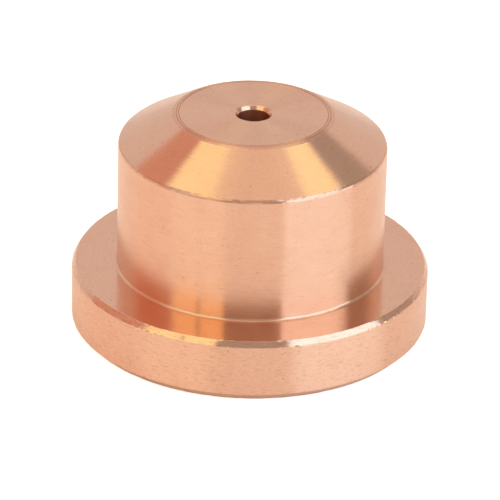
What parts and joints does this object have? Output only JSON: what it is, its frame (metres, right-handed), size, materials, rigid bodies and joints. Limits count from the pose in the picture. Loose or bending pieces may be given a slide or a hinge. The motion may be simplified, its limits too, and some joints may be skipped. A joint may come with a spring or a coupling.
{
  "type": "plasma torch nozzle",
  "caption": "Turned copper nozzle with a round foot flange, a drum body and a blunt cone tip, bored through so that plasma gas leaves by a small central orifice.",
  "frame": {"origin": "centre of the flat seat on the underside of the flange, on the nozzle's axis", "axes": "+Z along the gas passage from the seat to the tip face; X and Y lie in the seat, and the part is the same all round"},
  "size_m": [0.019, 0.019, 0.0121],
  "materials": {
    "copper": "fine turned copper, satin"
  },
  "bodies": {
    "root": {"nozzle": "copper"}
  },
  "joints": []
}
